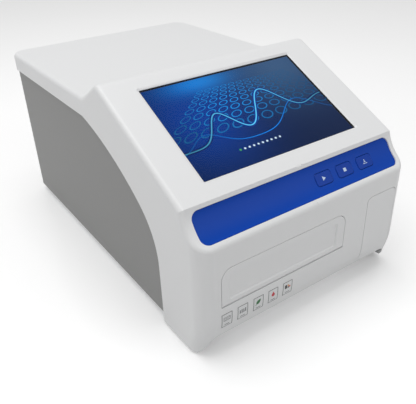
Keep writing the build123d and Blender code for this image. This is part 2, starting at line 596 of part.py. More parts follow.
# Toothed belt, its two pulleys, the idler's pin, the stepping motor and the belt clamp
pulley_low_z, pulley_high_z = belt_mid_z - belt_width / 2 - 0.4, belt_mid_z + belt_width / 2 + 0.4


def pulley(y, bore_radius):
    """A toothed pulley between two flanges."""
    teeth = Circle(pulley_radius) - PolarLocations(pulley_radius, pulley_teeth) * Rectangle(1.4, 1.0)
    flange = Circle(pulley_radius + belt_thickness + 0.6)
    body = Pos(0, 0, pulley_low_z) * extrude(teeth, amount=pulley_high_z - pulley_low_z)
    for z in (pulley_low_z - 1.0, pulley_high_z):
        body += Pos(0, 0, z) * extrude(flange, amount=1.0)
    body -= rod((0, 0, pulley_low_z - 2), (0, 0, pulley_high_z + 2), bore_radius)
    return Pos(pulley_x, y, 0) * body


def belt_loop(radius):
    """The belt's outline from above at one distance from the pulley centres."""
    return Pos(pulley_x, (motor_y + idler_y) / 2) * SlotCenterToCenter(motor_y - idler_y, 2 * radius, rotation=90)


belt_inner = pulley_radius + belt_clearance
drive_belt = Pos(0, 0, belt_mid_z - belt_width / 2) * extrude(
    belt_loop(belt_inner + belt_thickness) - belt_loop(belt_inner), amount=belt_width)
drive_pulley = pulley(motor_y, motor_shaft_radius)
idler_pulley = pulley(idler_y, idler_pin_radius + running_clearance)
motor_top_z = deck_z
motor_shaft = rod((pulley_x, motor_y, motor_top_z - 4), (pulley_x, motor_y, pulley_high_z + 3), motor_shaft_radius)
tray_motor = plate(pulley_x, motor_y, motor_size, motor_size, 4.0, motor_top_z - motor_height, motor_top_z)
tray_motor = chamfer(tray_motor.faces().sort_by(Axis.Z)[0].edges(), 0.8)
tray_motor -= rod((pulley_x, motor_y, motor_top_z - 5), (pulley_x, motor_y, motor_top_z + 1),
                  motor_shaft_radius + running_clearance)
idler_pin = rod((pulley_x, idler_y, deck_top_z + 2.0), (pulley_x, idler_y, pulley_high_z + 1.4), idler_pin_radius)
idler_pin += rod((pulley_x, idler_y, deck_top_z), (pulley_x, idler_y, pulley_low_z - 1.3), 4.0)
idler_pin += rod((pulley_x, idler_y, pulley_high_z + 1.3), (pulley_x, idler_y, pulley_high_z + 2.3), 3.2)
clamp_x = (shaft_xs[1] + housing_width / 2, pulley_x - belt_inner + 3.0)
clamp_y = (housing_y[0] + 24.0, housing_y[0] + 36.0)
belt_clamp = block(*clamp_x, *clamp_y, belt_mid_z - 5.0, belt_mid_z + 6.0)
belt_clamp -= block(pulley_x - belt_inner - belt_thickness - 0.4, pulley_x - belt_inner + 0.4, clamp_y[0] - 1,
                    clamp_y[1] + 1, belt_mid_z - belt_width / 2 - 0.4, belt_mid_z + belt_width / 2 + 0.4)

# Optics bridge over the tray, its row of lenses, and the detector bar under the tray
bridge_y = (front_y + bridge_setback, front_y + bridge_setback + bridge_depth)
bridge_middle_y = sum(bridge_y) / 2
bridge_x = (door_centre_x - 90.0, pulley_x + belt_inner + 14.0)
channel_xs = [door_centre_x + (i - (channel_count - 1) / 2) * channel_pitch for i in range(channel_count)]
optics_bridge = along_y(arch(*bridge_x, deck_top_z, bridge_top_z, 10.0), *bridge_y)
optics_bridge -= along_y(arch(bridge_x[0] + bridge_leg, bridge_x[1] - bridge_leg, deck_top_z - 1, bridge_gap_z, 6.0),
                         bridge_y[0] - 1, bridge_y[1] + 1)
lens_seat_z = bridge_gap_z + 1.0
for x in channel_xs:
    optics_bridge -= rod((x, bridge_middle_y, bridge_gap_z - 1), (x, bridge_middle_y, bridge_gap_z + 6), lens_radius)
    optics_bridge -= rod((x, bridge_middle_y, bridge_gap_z + 5), (x, bridge_middle_y, bridge_top_z + 1), 1.5)
lens_row = [rod((x, bridge_middle_y, lens_seat_z), (x, bridge_middle_y, lens_seat_z + lens_length), lens_radius)
            for x in channel_xs]
detector_half = (channel_count - 1) / 2 * channel_pitch + 3.5
detector_z = (tray_z - detector_gap - detector_height, tray_z - detector_gap)
detector_bar = block(door_centre_x - detector_half, door_centre_x + detector_half, bridge_middle_y - detector_depth / 2,
                     bridge_middle_y + detector_depth / 2, *detector_z)
for x in channel_xs:
    detector_bar -= rod((x, bridge_middle_y, detector_z[1] - 2.0), (x, bridge_middle_y, detector_z[1] + 1), 2.5)
photodiodes = [rod((x, bridge_middle_y, detector_z[1] - 2.0), (x, bridge_middle_y, detector_z[1] - 0.8), 2.5)
               for x in channel_xs]
detector_posts = [rod((door_centre_x + dx, bridge_middle_y, deck_top_z), (door_centre_x + dx, bridge_middle_y, detector_z[0]),
                      4.0) for dx in (-31.5, 31.5)]
manifold_z = (bridge_top_z, bridge_top_z + 9.0)
manifold_x = (channel_xs[0] - 5, channel_xs[-1] + 5)
with BuildSketch(Plane.XZ) as manifold_view:
    Polygon((manifold_x[0], manifold_z[0]), (manifold_x[1], manifold_z[0]), (manifold_x[1], manifold_z[1]),
            (manifold_x[0] + 30, manifold_z[1]), (manifold_x[0], manifold_z[0] + 3), align=None)
fibre_manifold = along_y(manifold_view.sketch, bridge_middle_y - 6, bridge_middle_y + 6)
home_sensor = block(flag_x - 8, flag_x + 8, tail_rear_y + 5, tail_rear_y + 15, deck_top_z, flag_top_z + 3)
home_sensor -= block(flag_x - 1.6, flag_x + 1.6, tail_rear_y + 4, tail_rear_y + 16, tray_z - 3, flag_top_z + 4)

# Monochromator casting with its lid, the finned lamp housing, and the fibre bundle to the bridge
mono_x = (casing_half_width - sheet - mono_side_gap - mono_width, casing_half_width - sheet - mono_side_gap)
fan_y = (rear_inner_y - panel_gap - fan_depth, rear_inner_y - panel_gap)
lamp_y = (fan_y[0] - lamp_fan_gap - lamp_length, fan_y[0] - lamp_fan_gap)
mono_y = (front_y + mono_setback, lamp_y[0] - lamp_neck)
mono_length = mono_y[1] - mono_y[0]
mono_top_z = mono_z + mono_height
mono_middle = (sum(mono_x) / 2, sum(mono_y) / 2)
monochromator_housing = plate(*mono_middle, mono_width, mono_length, 6.0, mono_z, mono_top_z - lid_thickness)
for y in (mono_y[0] + 12, mono_middle[1], mono_y[1] - 12):
    for x in (mono_x[0] + 9, mono_x[1] - 9):
        monochromator_housing += rod((x, y, pan_top_z), (x, y, mono_z), 5.0)
monochromator_lid = plate(*mono_middle, mono_width + 3, mono_length + 3, 7.0, mono_top_z - lid_thickness, mono_top_z)
monochromator_lid = chamfer(monochromator_lid.faces().sort_by(Axis.Z)[-1].edges(), 0.8)
lamp_x = (mono_middle[0] - lamp_width / 2, mono_middle[0] + lamp_width / 2)
lamp_z = (mono_z, mono_z + lamp_height)
lamp_housing = block(lamp_x[0] + fin_depth, lamp_x[1] - fin_depth, *lamp_y, *lamp_z)
fin_step = (lamp_length - fin_thickness) / (fin_count - 1)
for i in range(fin_count):
    y = lamp_y[0] + i * fin_step
    lamp_housing += block(*lamp_x, y, y + fin_thickness, *lamp_z)
lamp_housing += rod((mono_middle[0], mono_y[1], lamp_z[0] + 30), (mono_middle[0], lamp_y[0] + 1, lamp_z[0] + 30), 9.0)
for x in (lamp_x[0] + 14, lamp_x[1] - 14):
    lamp_housing += rod((x, sum(lamp_y) / 2, pan_top_z), (x, sum(lamp_y) / 2, mono_z + 1), 4.0)
fibre_z = sum(manifold_z) / 2
fibre_route = [(mono_middle[0], mono_y[0] - 0.5, mono_top_z - 15), (mono_middle[0], mono_y[0] - 45, mono_top_z - 10),
               (mono_middle[0] - 12, bridge_middle_y + 6, fibre_z - 8), (bridge_x[1] - 12, bridge_middle_y, fibre_z),
               (manifold_x[1], bridge_middle_y, fibre_z)]
fibre_path = FilletPolyline(*fibre_route, radius=20.0)
fibre_bundle = sweep(Plane(origin=fibre_path @ 0, z_dir=fibre_path % 0) * Circle(fibre_radius), path=fibre_path)

# Cooling fan: frame with struts and hub, and the rotor that turns on the hub's pin
hub_y = fan_y[1] - 7.0
fan_frame = along_y(panel(fan_x, fan_z, fan_size, fan_size, 4.0), *fan_y)
fan_frame -= rod((fan_x, fan_y[0] - 1, fan_z), (fan_x, fan_y[1] + 1, fan_z), fan_bore_radius)
for dx in (-25.0, 25.0):
    for dz in (-25.0, 25.0):
        fan_frame -= rod((fan_x + dx, fan_y[0] - 1, fan_z + dz), (fan_x + dx, fan_y[1] + 1, fan_z + dz), 2.1)
fan_frame += rod((fan_x, hub_y + 0.5, fan_z), (fan_x, fan_y[1], fan_z), fan_hub_radius)
for angle in (90.0, 210.0, 330.0):
    strut = Pos(fan_x, 0, fan_z) * Rot(0, angle, 0) * block(8.0, fan_bore_radius + 1, fan_y[1] - 4, fan_y[1], -1.5, 1.5)
    fan_frame += strut
fan_pin_radius = 2.0
fan_frame += rod((fan_x, fan_y[0] + 5, fan_z), (fan_x, hub_y + 1, fan_z), fan_pin_radius)
fan_rotor = rod((fan_x, fan_y[0] + 2, fan_z), (fan_x, hub_y - 0.5, fan_z), fan_hub_radius + 0.5)
fan_rotor -= rod((fan_x, fan_y[0] + 4.5, fan_z), (fan_x, fan_y[1], fan_z), fan_pin_radius + running_clearance)
blade_mid_y = (fan_y[0] + hub_y) / 2 + 1.0
blade_zone = rod((fan_x, fan_y[0], fan_z), (fan_x, fan_y[1], fan_z), fan_bore_radius - 1.0)
for i in range(blade_count):
    blade = Rot(0, i * 360 / blade_count, 0) * Pos(0, blade_mid_y, (fan_hub_radius + fan_bore_radius) / 2) * Rot(
        0, 0, 38) * Box(17.0, 1.4, fan_bore_radius - fan_hub_radius)
    fan_rotor += (Pos(fan_x, 0, fan_z) * blade) & blade_zone

# Power supply in a vented can, main board on posts, and the cable up to the display
supply_y = (rear_inner_y - 40 - supply_length, rear_inner_y - 40)
power_supply = block(supply_x - supply_width / 2, supply_x + supply_width / 2, *supply_y, pan_top_z + 3,
                     pan_top_z + 3 + supply_height)
for dx in (-supply_width / 2 + 8, supply_width / 2 - 8):
    for y in (supply_y[0] + 8, supply_y[1] - 8):
        power_supply += rod((supply_x + dx, y, pan_top_z), (supply_x + dx, y, pan_top_z + 4), 4.0)
for i in range(7):
    y = supply_y[0] + 16 + i * (supply_length - 32) / 6
    power_supply -= block(supply_x - 30, supply_x + 30, y - 1.5, y + 1.5, pan_top_z + supply_height + 1.5,
                          pan_top_z + supply_height + 4)
board_y = (rear_inner_y - 3.0 - main_board_length, rear_inner_y - 3.0)
board_x = (main_board_x - main_board_width / 2, main_board_x + main_board_width / 2)
board_z = (component_z - board_sheet, component_z)
main_board = block(*board_x, *board_y, *board_z)
board_posts = [rod((x, y, pan_top_z), (x, y, board_z[0]), 3.0) for x in (board_x[0] + 5, board_x[1] - 5)
               for y in (board_y[0] + 5, board_y[1] - 30)]
chip_sizes = [(-25, 50, 22, 22, 2.5), (12, 48, 14, 20, 2.0), (30, 90, 26, 26, 12.0), (-30, 95, 9, 30, 8.0),
              (0, 95, 12, 12, 3.0), (-38, 20, 8, 24, 9.0), (5, 12, 44, 6, 9.0)]
board_components = [block(main_board_x + dx - w / 2, main_board_x + dx + w / 2, board_y[0] + dy - d / 2,
                          board_y[0] + dy + d / 2, board_z[1], board_z[1] + h) for dx, dy, w, d, h in chip_sizes]
for dx, dy in ((40, 30), (40, 45), (40, 60)):
    board_components.append(rod((main_board_x + dx, board_y[0] + dy, board_z[1]),
                                (main_board_x + dx, board_y[0] + dy, board_z[1] + 14), 5.0))


def socket(x, width, height, mouth_width, mouth_height, tongue_height):
    """A board socket: a can through the rear wall with a mouth and, inside it, a contact tongue."""
    z = board_z[1] + height / 2
    can = block(x - width / 2, x + width / 2, rear_inner_y - 14, casing_rear_y + 0.6, board_z[1], board_z[1] + height)
    can -= block(x - mouth_width / 2, x + mouth_width / 2, casing_rear_y - 11, casing_rear_y + 1,
                 z - mouth_height / 2, z + mouth_height / 2)
    return can + block(x - mouth_width / 2 + 1.5, x + mouth_width / 2 - 1.5, casing_rear_y - 12, casing_rear_y - 5,
                       z - tongue_height / 2, z + tongue_height / 2)


socket_sizes = [(main_board_x - 32, 12.0, 11.0, 8.6, 7.9, 3.0), (main_board_x - 6, 14.6, 7.4, 12.6, 5.2, 1.8),
                (main_board_x + 22, 16.0, 13.6, 11.8, 8.6, 1.2)]
data_sockets = [socket(*size) for size in socket_sizes]
for x, width, height, *_ in socket_sizes:
    wrap_casing -= block(x - width / 2 - 0.3, x + width / 2 + 0.3, *rear_zone, board_z[1] - 0.3, board_z[1] + height + 0.3)

# Mains inlet with three blades, and the rocker switch in its bezel
inlet_y = (casing_rear_y - 24.0, casing_rear_y)
power_inlet = along_y(panel(inlet_x, inlet_z, inlet_width, inlet_height, 2.0), *inlet_y)
power_inlet += along_y(panel(inlet_x, inlet_z, inlet_width + 6, inlet_height + 5, 3.0), casing_rear_y, casing_rear_y + 2.0)
power_inlet -= along_y(panel(inlet_x, inlet_z, 24.2, 16.4, 3.5), casing_rear_y - 16, casing_rear_y + 3)
inlet_blades = [block(inlet_x + dx - 1.0, inlet_x + dx + 1.0, casing_rear_y - 16, casing_rear_y - 4,
                      inlet_z + dz - 2.3, inlet_z + dz + 2.3) for dx, dz in ((-7.0, -1.5), (0.0, 2.5), (7.0, -1.5))]
inlet_blades += [block(inlet_x + dx - 2.4, inlet_x + dx + 2.4, inlet_y[0] - 7, inlet_y[0], inlet_z - 0.5, inlet_z + 0.5)
                 for dx in (-7.0, 0.0, 7.0)]
rocker_angle = 10.0
rocker_pivot_y = casing_rear_y - 1.0
rocker_window = (switch_height - 2.0, switch_width - 1.4)
switch_frame = along_y(panel(switch_x, inlet_z, switch_height, switch_width, 0.5), casing_rear_y - 16, casing_rear_y)
switch_frame += along_y(panel(switch_x, inlet_z, switch_height + 2, switch_width + 2, 1.0), casing_rear_y, casing_rear_y + 1.6)
switch_frame -= along_y(panel(switch_x, inlet_z, *rocker_window, 0.3), casing_rear_y - 9, casing_rear_y + 3)
rocker_pin_x = rocker_window[0] / 2
switch_frame -= rod((switch_x - rocker_pin_x - 0.7, rocker_pivot_y, inlet_z),
                    (switch_x + rocker_pin_x + 0.7, rocker_pivot_y, inlet_z), 0.9 + pin_clearance)
with BuildSketch(Plane.YZ) as rocker_view:
    Polygon((-5.0, -4.5), (-5.0, 4.5), (1.4, 8.1), (2.6, 8.1), (1.5, 0.0), (2.6, -8.1), (1.4, -8.1), align=None)
rocker_body = along_x(rocker_view.sketch, -rocker_pin_x + 0.4, rocker_pin_x - 0.4)
rocker_body += rod((-rocker_pin_x - 0.5, 0, 0), (rocker_pin_x + 0.5, 0, 0), 0.9)
power_rocker = Pos(switch_x, rocker_pivot_y, inlet_z) * Rot(-rocker_angle, 0, 0) * rocker_body

# Touch screen: glass under the hood's window, panel, metal frame and driver board
glass_size = (screen_width + 2 * glass_margin, screen_height + 2 * glass_margin)
glass_top = wall + 0.2
touch_glass = on_slope(*glass_size, 3.0, glass_top, glass_thickness)
lcd_top = glass_top + glass_thickness
lcd_panel = on_slope(screen_width + 2 * lcd_margin, screen_height + 2 * lcd_margin, 1.0, lcd_top, lcd_thickness)
frame_low = lcd_top + lcd_thickness
display_frame = on_slope(glass_size[0] - 2, glass_size[1] - 2, 2.0, frame_low, 1.2)
display_frame -= on_slope(screen_width - 40, screen_height - 40, 4.0, frame_low - 1, 4.0)
rim_ring = on_slope(glass_size[0] - 2, glass_size[1] - 2, 2.0, lcd_top, lcd_thickness)
rim_ring -= on_slope(glass_size[0] - 4.4, glass_size[1] - 4.4, 1.0, lcd_top - 1, lcd_thickness + 2)
display_frame += rim_ring
board_depth = frame_low + 1.2
display_board = on_slope(140.0, 84.0, 2.0, board_depth + 4.0, board_sheet)
for dx in (-62.0, 62.0):
    for dy in (-34.0, 34.0):
        post = slope * Pos(screen_centre[0] + dx, screen_centre[1] + dy, -board_depth - 4.0) * Circle(3.0)
        display_board += extrude(post, amount=4.0, dir=slope.z_dir)
display_board -= on_slope(screen_width - 40, screen_height - 40, 4.0, board_depth - 8.0, 8.0)
cable_width, cable_thickness = 20.0, 1.0
cable_start = slope.location * Pos(0, screen_centre[1] + 20, -board_depth - 5.0 - board_sheet)
cable_from = (cable_start.position.Y, cable_start.position.Z)
cable_to = (board_y[0] + 12, board_z[1] + 9.0)
cable_line = FilletPolyline(cable_from, (cable_to[0], cable_from[1] - 20), cable_to, radius=25.0)
cable_view = Plane.YZ * trace(cable_line, cable_thickness)
display_cable = along_x(cable_view, main_board_x - 3 - cable_width / 2, main_board_x - 3 + cable_width / 2)

# Blue band: a panel that follows the cove, held by a flange behind the hood, with three key openings
cove_skin = wall + panel_gap
blue_band = cove_layer(band_recess, cove_skin - band_recess, band_width, band_height, band_corner_radius)
blue_band += cove_layer(cove_skin, band_skin, band_width + 2 * band_flange, band_height + 2 * band_flange,
                        band_corner_radius + band_flange)
key_low = -cove_skin - band_skin - 0.4 - key_travel - key_lip_thickness
key_top = key_proud - band_recess
for x in key_xs:
    blue_band -= through_band(x, key_width + 2 * key_gap, key_height + 2 * key_gap, key_radius + key_gap, -20, 20)
board_low = key_low - 3.0
board_span = (key_xs[0] - 22, key_xs[-1] + 22)
key_board = extrude(band * Pos(sum(board_span) / 2, band_middle, board_low - board_sheet) * RectangleRounded(
    board_span[1] - board_span[0], 25.0, 1.5), amount=board_sheet, dir=band_normal)
for x in key_xs:
    key_board += extrude(band * Pos(x, band_middle, board_low) * Rectangle(6.0, 6.0), amount=1.2, dir=band_normal)
for x in (board_span[0] + 4, board_span[1] - 4):
    for dy in (-9.0, 9.0):
        post = extrude(band * Pos(x, band_middle + dy, board_low) * Circle(2.2), amount=12.0, dir=band_normal)
        blue_band += post - extrude(Plane.YZ * Pos(cove_centre.Y, cove_centre.Z) * Circle(cove_radius + cove_skin + 0.5),
                                    amount=body_width, both=True)
keys = []
for x in key_xs:
    key = through_band(x, key_width, key_height, key_radius, key_low + key_lip_thickness, key_top)
    key = fillet(key.faces().sort_by(Axis(band.origin, band_normal))[-1].edges(), 0.8)
    key += through_band(x, key_width + 2 * key_lip, key_height + 2 * key_lip, key_radius + key_lip, key_low,
                        key_low + key_lip_thickness)
    key += extrude(band * Pos(x, band_middle, board_low + 1.2 + key_travel + 0.1) * Circle(2.0),
                   amount=key_low - board_low - 1.2 - key_travel - 0.1, dir=band_normal)
    keys.append(key)

nodes = {
    "hood": hood, "front_cover": front_cover, "wrap_casing": wrap_casing, "base_pan": base_pan,
    "rubber_feet": rubber_feet, "foot_screws": foot_screws, "casing_screws": casing_screws,
    "plate_door": plate_door, "door_seal": door_seal,
    "cuvette_door": cuvette_door, "cuvette_liner": cuvette_liner, "cuvette_holder": cuvette_holder,
    "cuvette_clip": cuvette_clip,
    "deck_plate": deck_plate, "deck_standoffs": deck_standoffs,
    "guide_shafts": guide_shafts, "shaft_supports": shaft_supports,
    "plate_tray": plate_tray, "bushing_housings": bushing_housings, "tray_bushings": tray_bushings,
    "plate_clip": plate_clip, "belt_clamp": belt_clamp,
    "drive_belt": drive_belt, "drive_pulley": drive_pulley, "motor_shaft": motor_shaft, "tray_motor": tray_motor,
    "idler_pulley": idler_pulley, "idler_pin": idler_pin, "home_sensor": home_sensor,
    "optics_bridge": optics_bridge, "lens_row": lens_row, "fibre_manifold": fibre_manifold,
    "fibre_bundle": fibre_bundle, "detector_bar": detector_bar, "photodiodes": photodiodes,
    "detector_posts": detector_posts,
    "monochromator_housing": monochromator_housing, "monochromator_lid": monochromator_lid,
    "lamp_housing": lamp_housing, "fan_frame": fan_frame, "fan_rotor": fan_rotor,
    "power_supply": power_supply, "main_board": main_board, "board_posts": board_posts,
    "board_components": board_components, "data_sockets": data_sockets,
    "power_inlet": power_inlet, "inlet_blades": inlet_blades,
    "switch_frame": switch_frame, "power_rocker": power_rocker,
    "touch_glass": touch_glass, "lcd_panel": lcd_panel, "display_frame": display_frame,
    "display_board": display_board, "display_cable": display_cable,
    "blue_band": blue_band, "key_board": key_board,
    "start_key": keys[0], "stop_key": keys[1], "plate_key": keys[2],
}

os.makedirs("parts", exist_ok=True)
for name, shape in nodes.items():
    solids = [s for piece in (shape if isinstance(shape, list) else [shape]) for s in piece.solids()]
    export_step(Compound(solids) if len(solids) > 1 else solids[0], f"parts/{name}.step")
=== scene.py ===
from math import atan2, cos, pi, sin

import bmesh
import bpy
import numpy as np
from mathutils import Matrix


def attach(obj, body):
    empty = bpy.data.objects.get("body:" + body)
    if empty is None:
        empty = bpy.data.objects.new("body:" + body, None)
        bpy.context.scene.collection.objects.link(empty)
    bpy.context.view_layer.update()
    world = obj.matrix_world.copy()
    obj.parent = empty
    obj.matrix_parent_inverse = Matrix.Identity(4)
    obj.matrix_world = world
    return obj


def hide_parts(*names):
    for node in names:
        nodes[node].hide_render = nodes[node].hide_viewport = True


# Benchtop microplate reader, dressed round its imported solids. Metres, +Z up, the front towards -Y.
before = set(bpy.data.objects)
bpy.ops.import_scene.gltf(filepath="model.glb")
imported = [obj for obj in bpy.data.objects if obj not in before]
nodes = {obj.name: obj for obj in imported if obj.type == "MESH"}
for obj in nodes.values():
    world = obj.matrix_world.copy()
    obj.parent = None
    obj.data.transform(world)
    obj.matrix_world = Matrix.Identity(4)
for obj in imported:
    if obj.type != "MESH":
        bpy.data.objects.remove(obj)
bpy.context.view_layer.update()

# White hood: one injection moulding in satin white ABS with a fine spark-eroded grain. It carries the
# cove, the screen surround, the step and the flat rear top, and reaches down the sides as a curved edge.
ABS_WHITE = (0.80, 0.805, 0.81)


def linear(red, green, blue):
    """A colour named by its 0 to 255 screen values, turned to the linear values that shaders read."""
    screen = np.array([red, green, blue]) / 255.0
    return tuple(np.where(screen > 0.04045, ((screen + 0.055) / 1.055) ** 2.4, screen / 12.92))


def surface_finish(name, colour, depth=0.06, scale=400.0, detail=3.0, rough=(0.4, 0.5), bump=0.1,
                   relief=0.0001, metallic=0.0, specular=0.5, stretch=(1.0, 1.0, 1.0)):
    """One noise on Object coordinates drives the colour's slight change, the roughness and the relief."""
    made = bpy.data.materials.new(name)
    made.use_nodes = True
    tree = made.node_tree
    shader = tree.nodes["Principled BSDF"]
    place = tree.nodes.new("ShaderNodeTexCoord")
    turn = tree.nodes.new("ShaderNodeMapping")
    turn.inputs["Scale"].default_value = stretch
    noise = tree.nodes.new("ShaderNodeTexNoise")
    noise.inputs["Scale"].default_value = scale
    noise.inputs["Detail"].default_value = detail
    shade = tree.nodes.new("ShaderNodeMix")
    shade.data_type = "RGBA"
    shade.inputs["A"].default_value = (*[c * (1.0 - depth) for c in colour], 1.0)
    shade.inputs["B"].default_value = (*[min(c * (1.0 + depth), 1.0) for c in colour], 1.0)
    spread = tree.nodes.new("ShaderNodeMapRange")
    spread.inputs["To Min"].default_value, spread.inputs["To Max"].default_value = rough
    height = tree.nodes.new("ShaderNodeBump")
    height.inputs["Strength"].default_value = bump
    height.inputs["Distance"].default_value = relief
    link = tree.links.new
    link(place.outputs["Object"], turn.inputs["Vector"])
    link(turn.outputs["Vector"], noise.inputs["Vector"])
    link(noise.outputs["Fac"], shade.inputs["Factor"])
    link(shade.outputs["Result"], shader.inputs["Base Color"])
    link(noise.outputs["Fac"], spread.inputs["Value"])
    link(spread.outputs["Result"], shader.inputs["Roughness"])
    link(noise.outputs["Fac"], height.inputs["Height"])
    link(height.outputs["Normal"], shader.inputs["Normal"])
    shader.inputs["Metallic"].default_value = metallic
    shader.inputs["Specular IOR Level"].default_value = specular
    return made


def smooth_moulding(node, name, body, finish, crease=34.0, edge=0.0):
    """A welded copy of a node's mesh: flat faces stay flat and rounded ones shade as one smooth surface."""
    mesh = nodes[node].data.copy()
    weld = bmesh.new()
    weld.from_mesh(mesh)
    bmesh.ops.remove_doubles(weld, verts=weld.verts, dist=1e-6)
    bmesh.ops.dissolve_limit(weld, angle_limit=0.002, verts=weld.verts, edges=weld.edges)
    for line in weld.edges:
        line.smooth = len(line.link_faces) == 2 and line.calc_face_angle(pi) < crease * pi / 180.0
    for face in weld.faces:
        face.smooth = True
    weld.to_mesh(mesh)
    weld.free()
    mesh.materials.clear()
    mesh.materials.append(finish)
    piece = bpy.data.objects.new(name, mesh)
    bpy.context.scene.collection.objects.link(piece)
    if edge:
        bevel = piece.modifiers.new("edge", "BEVEL")
        bevel.width, bevel.segments, bevel.limit_method = edge, 2, "ANGLE"
        bevel.angle_limit = 50.0 * pi / 180.0
    weighted = piece.modifiers.new("shading", "WEIGHTED_NORMAL")
    weighted.keep_sharp = True
    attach(piece, body)
    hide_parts(node)
    return piece


abs_white = surface_finish("white_abs_grain", ABS_WHITE, depth=0.012, scale=2600.0, rough=(0.34, 0.42),
                           bump=0.12, relief=0.00004)
smooth_moulding("hood", "hood_moulding", "casing", abs_white)

# White lower front: the same ABS in a second moulding that meets the hood at a straight seam. It curves
# back towards the bench and ends in two short legs.
smooth_moulding("front_cover", "front_cover_moulding", "casing", abs_white)

# Plate door and cuvette flap: separate white mouldings on pins, each with its own shadow gap.
smooth_moulding("plate_door", "plate_door_moulding", "plate_door", abs_white)
smooth_moulding("cuvette_door", "cuvette_door_moulding", "cuvette_door", abs_white)

# Side and rear walls: one folded steel sheet with a fine textured powder coat in mid grey.
SIDE_GREY = linear(139, 139, 138)
powder_coat = surface_finish("grey_powder_coat", SIDE_GREY, depth=0.05, scale=1500.0, detail=5.0,
                             rough=(0.42, 0.56), bump=0.35, relief=0.00012)
smooth_moulding("wrap_casing", "side_and_rear_wall", "casing", powder_coat)

# Blue band: a glossy blue moulding that follows the cove and sits a little below the white rim.
BAND_BLUE = linear(0, 66, 172)
band_gloss = surface_finish("blue_band_gloss", BAND_BLUE, depth=0.05, scale=9.0, detail=2.0,
                            rough=(0.3, 0.36), bump=0.02, relief=0.0002, specular=0.16)
smooth_moulding("blue_band", "cove_band", "casing", band_gloss)

# Three keys: caps of the same blue plastic, with a printed sign in pale ink on each.
KEY_BLUE = linear(0, 60, 162)
key_satin = surface_finish("blue_key_satin", KEY_BLUE, depth=0.04, scale=900.0, rough=(0.34, 0.4), bump=0.05,
                           specular=0.2)
for key in ("start_key", "stop_key", "plate_key"):
    smooth_moulding(key, key + "_cap", key, key_satin)

# Metals and plastics inside and behind: each node keeps its own solid and takes the finish of its material.
ground_steel = surface_finish("ground_steel", (0.62, 0.63, 0.64), depth=0.08, scale=260.0, rough=(0.2, 0.36),
                              metallic=1.0, bump=0.08, stretch=(1.0, 0.05, 1.0))
zinc_plate = surface_finish("zinc_plate", (0.6, 0.61, 0.62), depth=0.16, scale=60.0, rough=(0.3, 0.5),
                            metallic=1.0)
anodised = surface_finish("clear_anodised", (0.72, 0.73, 0.74), depth=0.05, scale=700.0, rough=(0.32, 0.42),
                          metallic=1.0)
black_anodised = surface_finish("black_anodised", (0.035, 0.036, 0.04), depth=0.15, scale=700.0,
                                rough=(0.36, 0.48), metallic=0.6)
black_abs = surface_finish("black_abs_grain", (0.03, 0.03, 0.032), depth=0.15, scale=1800.0,
                           rough=(0.42, 0.55), bump=0.2)
black_rubber = surface_finish("black_rubber", (0.022, 0.022, 0.022), depth=0.2, scale=900.0,
                              rough=(0.7, 0.85), bump=0.3)
open_foam = surface_finish("cellular_foam", (0.02, 0.02, 0.021), depth=0.4, scale=2400.0, rough=(0.85, 0.95),
                           bump=0.9, relief=0.0004)
board_green = surface_finish("green_solder_mask", (0.015, 0.13, 0.055), depth=0.25, scale=220.0,
                             rough=(0.25, 0.4))
bright_brass = surface_finish("bright_brass", (0.72, 0.5, 0.2), depth=0.08, scale=500.0, rough=(0.2, 0.32),
                              metallic=1.0)
oiled_bronze = surface_finish("oiled_bronze", (0.42, 0.27, 0.13), depth=0.15, scale=1200.0, rough=(0.35, 0.5),
                              metallic=1.0)
cable_jacket = surface_finish("grey_cable_jacket", (0.42, 0.43, 0.45), depth=0.08, scale=600.0,
                              rough=(0.45, 0.6))
lens_glass = surface_finish("lens_glass", (0.7, 0.85, 0.9), depth=0.03, scale=50.0, rough=(0.02, 0.06),
                            bump=0.0)
lens_glass.node_tree.nodes["Principled BSDF"].inputs["Transmission Weight"].default_value = 0.85
finish_of = {
    ground_steel: ["foot_screws", "casing_screws", "guide_shafts", "plate_clip", "cuvette_clip",
                   "motor_shaft", "idler_pin", "data_sockets", "display_frame"],
    zinc_plate: ["base_pan"],
    anodised: ["deck_plate", "deck_standoffs", "shaft_supports", "bushing_housings", "drive_pulley",
               "idler_pulley", "detector_posts", "monochromator_lid", "lamp_housing", "power_supply"],
    black_anodised: ["cuvette_holder", "tray_motor", "optics_bridge", "fibre_manifold", "detector_bar",
                     "monochromator_housing"],
    black_abs: ["cuvette_liner", "plate_tray", "belt_clamp", "home_sensor", "fan_frame", "fan_rotor",
                "board_components", "power_inlet", "switch_frame", "power_rocker", "lcd_panel"],
    black_rubber: ["rubber_feet", "drive_belt"],
    open_foam: ["door_seal"],
    board_green: ["main_board", "display_board", "key_board"],
    bright_brass: ["board_posts", "inlet_blades"],
    oiled_bronze: ["tray_bushings"],
    cable_jacket: ["fibre_bundle", "display_cable"],
    lens_glass: ["lens_row", "photodiodes"],
}
for finish, names in finish_of.items():
    for name in names:
        nodes[name].data.materials.clear()
        nodes[name].data.materials.append(finish)

